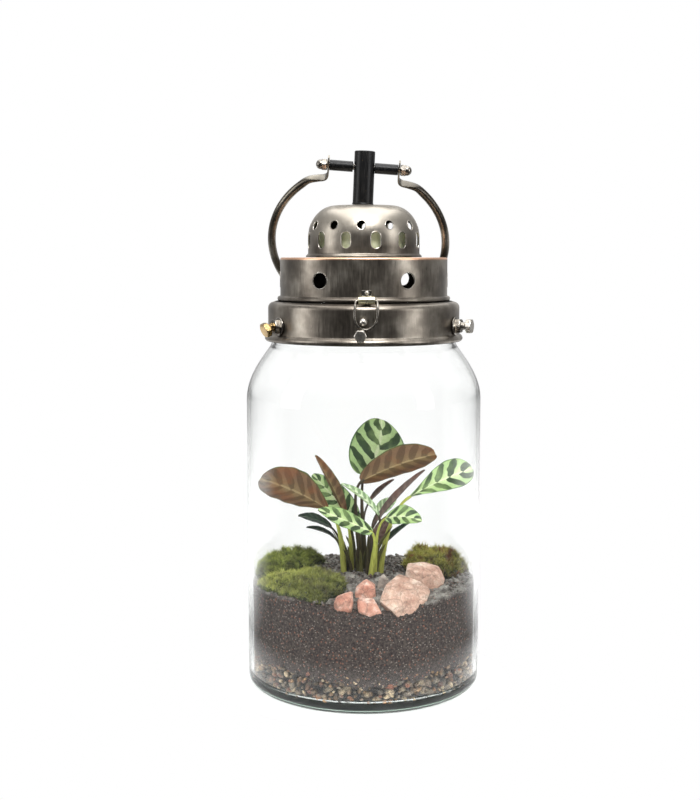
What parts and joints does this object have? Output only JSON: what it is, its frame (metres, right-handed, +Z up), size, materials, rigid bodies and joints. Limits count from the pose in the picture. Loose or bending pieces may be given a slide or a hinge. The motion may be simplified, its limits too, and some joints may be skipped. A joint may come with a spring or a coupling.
{
  "type": "planted jar terrarium with a lantern lid",
  "caption": "Clear glass jar planted with a prayer plant, moss and stones, closed by a vented lantern-style metal lid with a swinging carrying handle.",
  "frame": {"origin": "centre of the jar's flat base, on the surface it stands on", "axes": "+Z up along the jar's axis, -Y towards the front latch, +X to the right seen from the front"},
  "size_m": [0.18, 0.18, 0.4107],
  "materials": {
    "clear_glass": "clear blown glass, greenish in its thick base",
    "gravel": "crushed river gravel",
    "soil": "damp dark potting soil",
    "bright_moss": "living bright green moss",
    "dark_moss": "living dark moss",
    "granite": "broken pink granite",
    "leaf": "satin leaf, striped above and purple-brown below",
    "aged_pewter": "burnished, darkened pewter-coloured steel",
    "worn_steel": "worn bright steel",
    "latch_brass": "pale worn brass",
    "black_enamel": "satin black enamel",
    "frosted_cup": "frosted yellow-green plastic"
  },
  "bodies": {
    "terrarium": {"jar": "clear_glass", "gravel": "gravel", "soil": "soil", "moss_bright": "bright_moss", "moss_dark": "dark_moss", "moss_right": "dark_moss", "stone_large": "granite", "stone_upper": "granite", "stone_left": "granite", "stone_middle": "granite", "stone_wedge": "granite", "stone_grey": "granite", "leaf_top": "leaf", "leaf_brown_right": "leaf", "leaf_right": "leaf", "leaf_right_small": "leaf", "leaf_brown_left": "leaf", "leaf_purple_left": "leaf", "leaf_back_left": "leaf", "leaf_front": "leaf", "leaf_dark_left": "leaf", "leaf_low_left": "leaf", "leaf_young_back": "leaf", "leaf_young_right": "leaf", "leaf_low_brown": "leaf", "leaf_low_right": "leaf", "leaf_back_right": "leaf", "leaf_folded": "leaf", "collar": "aged_pewter", "set_screw_left": "worn_steel", "flange_nut_left": "aged_pewter", "set_screw_right": "worn_steel", "flange_nut_right": "aged_pewter", "set_screw_back_left": "worn_steel", "flange_nut_back_left": "aged_pewter", "set_screw_back_right": "worn_steel", "flange_nut_back_right": "aged_pewter", "set_screw_front": "worn_steel", "drum": "aged_pewter", "dome": "aged_pewter", "light_diffuser": "frosted_cup", "hinge_drum_leaf": "aged_pewter", "hinge_collar_leaf": "aged_pewter", "hinge_pin": "worn_steel", "post": "black_enamel", "cross_rod": "worn_steel", "rod_sleeve_left": "black_enamel", "cap_nut_left": "worn_steel", "rod_sleeve_right": "black_enamel", "cap_nut_right": "worn_steel", "latch_plate": "latch_brass", "latch_rivet": "worn_steel", "latch_stud": "worn_steel"},
    "handle": {"handle": "aged_pewter"},
    "latch_loop": {"latch_loop": "worn_steel"}
  },
  "joints": [
    {"name": "handle_swing", "type": "hinge", "parent": "terrarium", "child": "handle", "pos_m": [0, 0, 0.3981], "axis": [0.9972, 0, -0.075], "range_deg": [0, 287]},
    {"name": "latch_swing", "type": "hinge", "parent": "terrarium", "child": "latch_loop", "pos_m": [0.0021, -0.0716, 0.3], "axis": [-1, 0, 0], "range_deg": [0, 150]}
  ]
}
